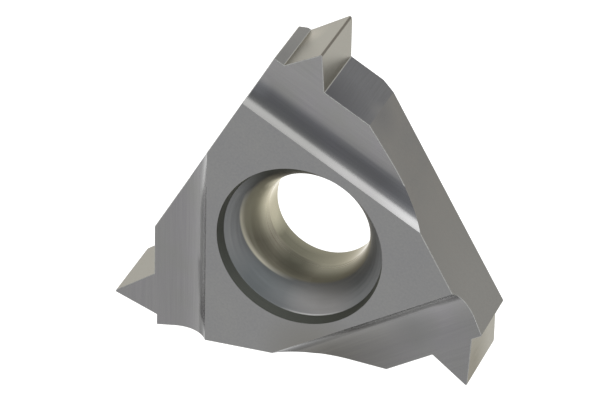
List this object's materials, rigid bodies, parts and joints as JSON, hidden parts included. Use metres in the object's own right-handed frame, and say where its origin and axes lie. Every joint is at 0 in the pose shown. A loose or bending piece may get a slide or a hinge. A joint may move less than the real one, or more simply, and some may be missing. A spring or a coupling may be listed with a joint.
{
  "type": "threading insert",
  "caption": "Triangular carbide laydown threading insert with sharp thread teeth at its corners, ground rake flutes and a countersunk screw hole.",
  "frame": {"origin": "on the screw hole's axis, in the bottom seating face", "axes": "+Z along the screw hole, out of the top face that carries the cutting edges; -X is the outward normal of the first corner's locating side, and that corner's tooth points to +Y"},
  "size_m": [0.0128, 0.0142, 0.0035],
  "materials": {
    "coated_carbide": "thin dark grey coating over ground and pressed carbide, satin"
  },
  "bodies": {
    "root": {"insert": "coated_carbide"}
  },
  "joints": []
}
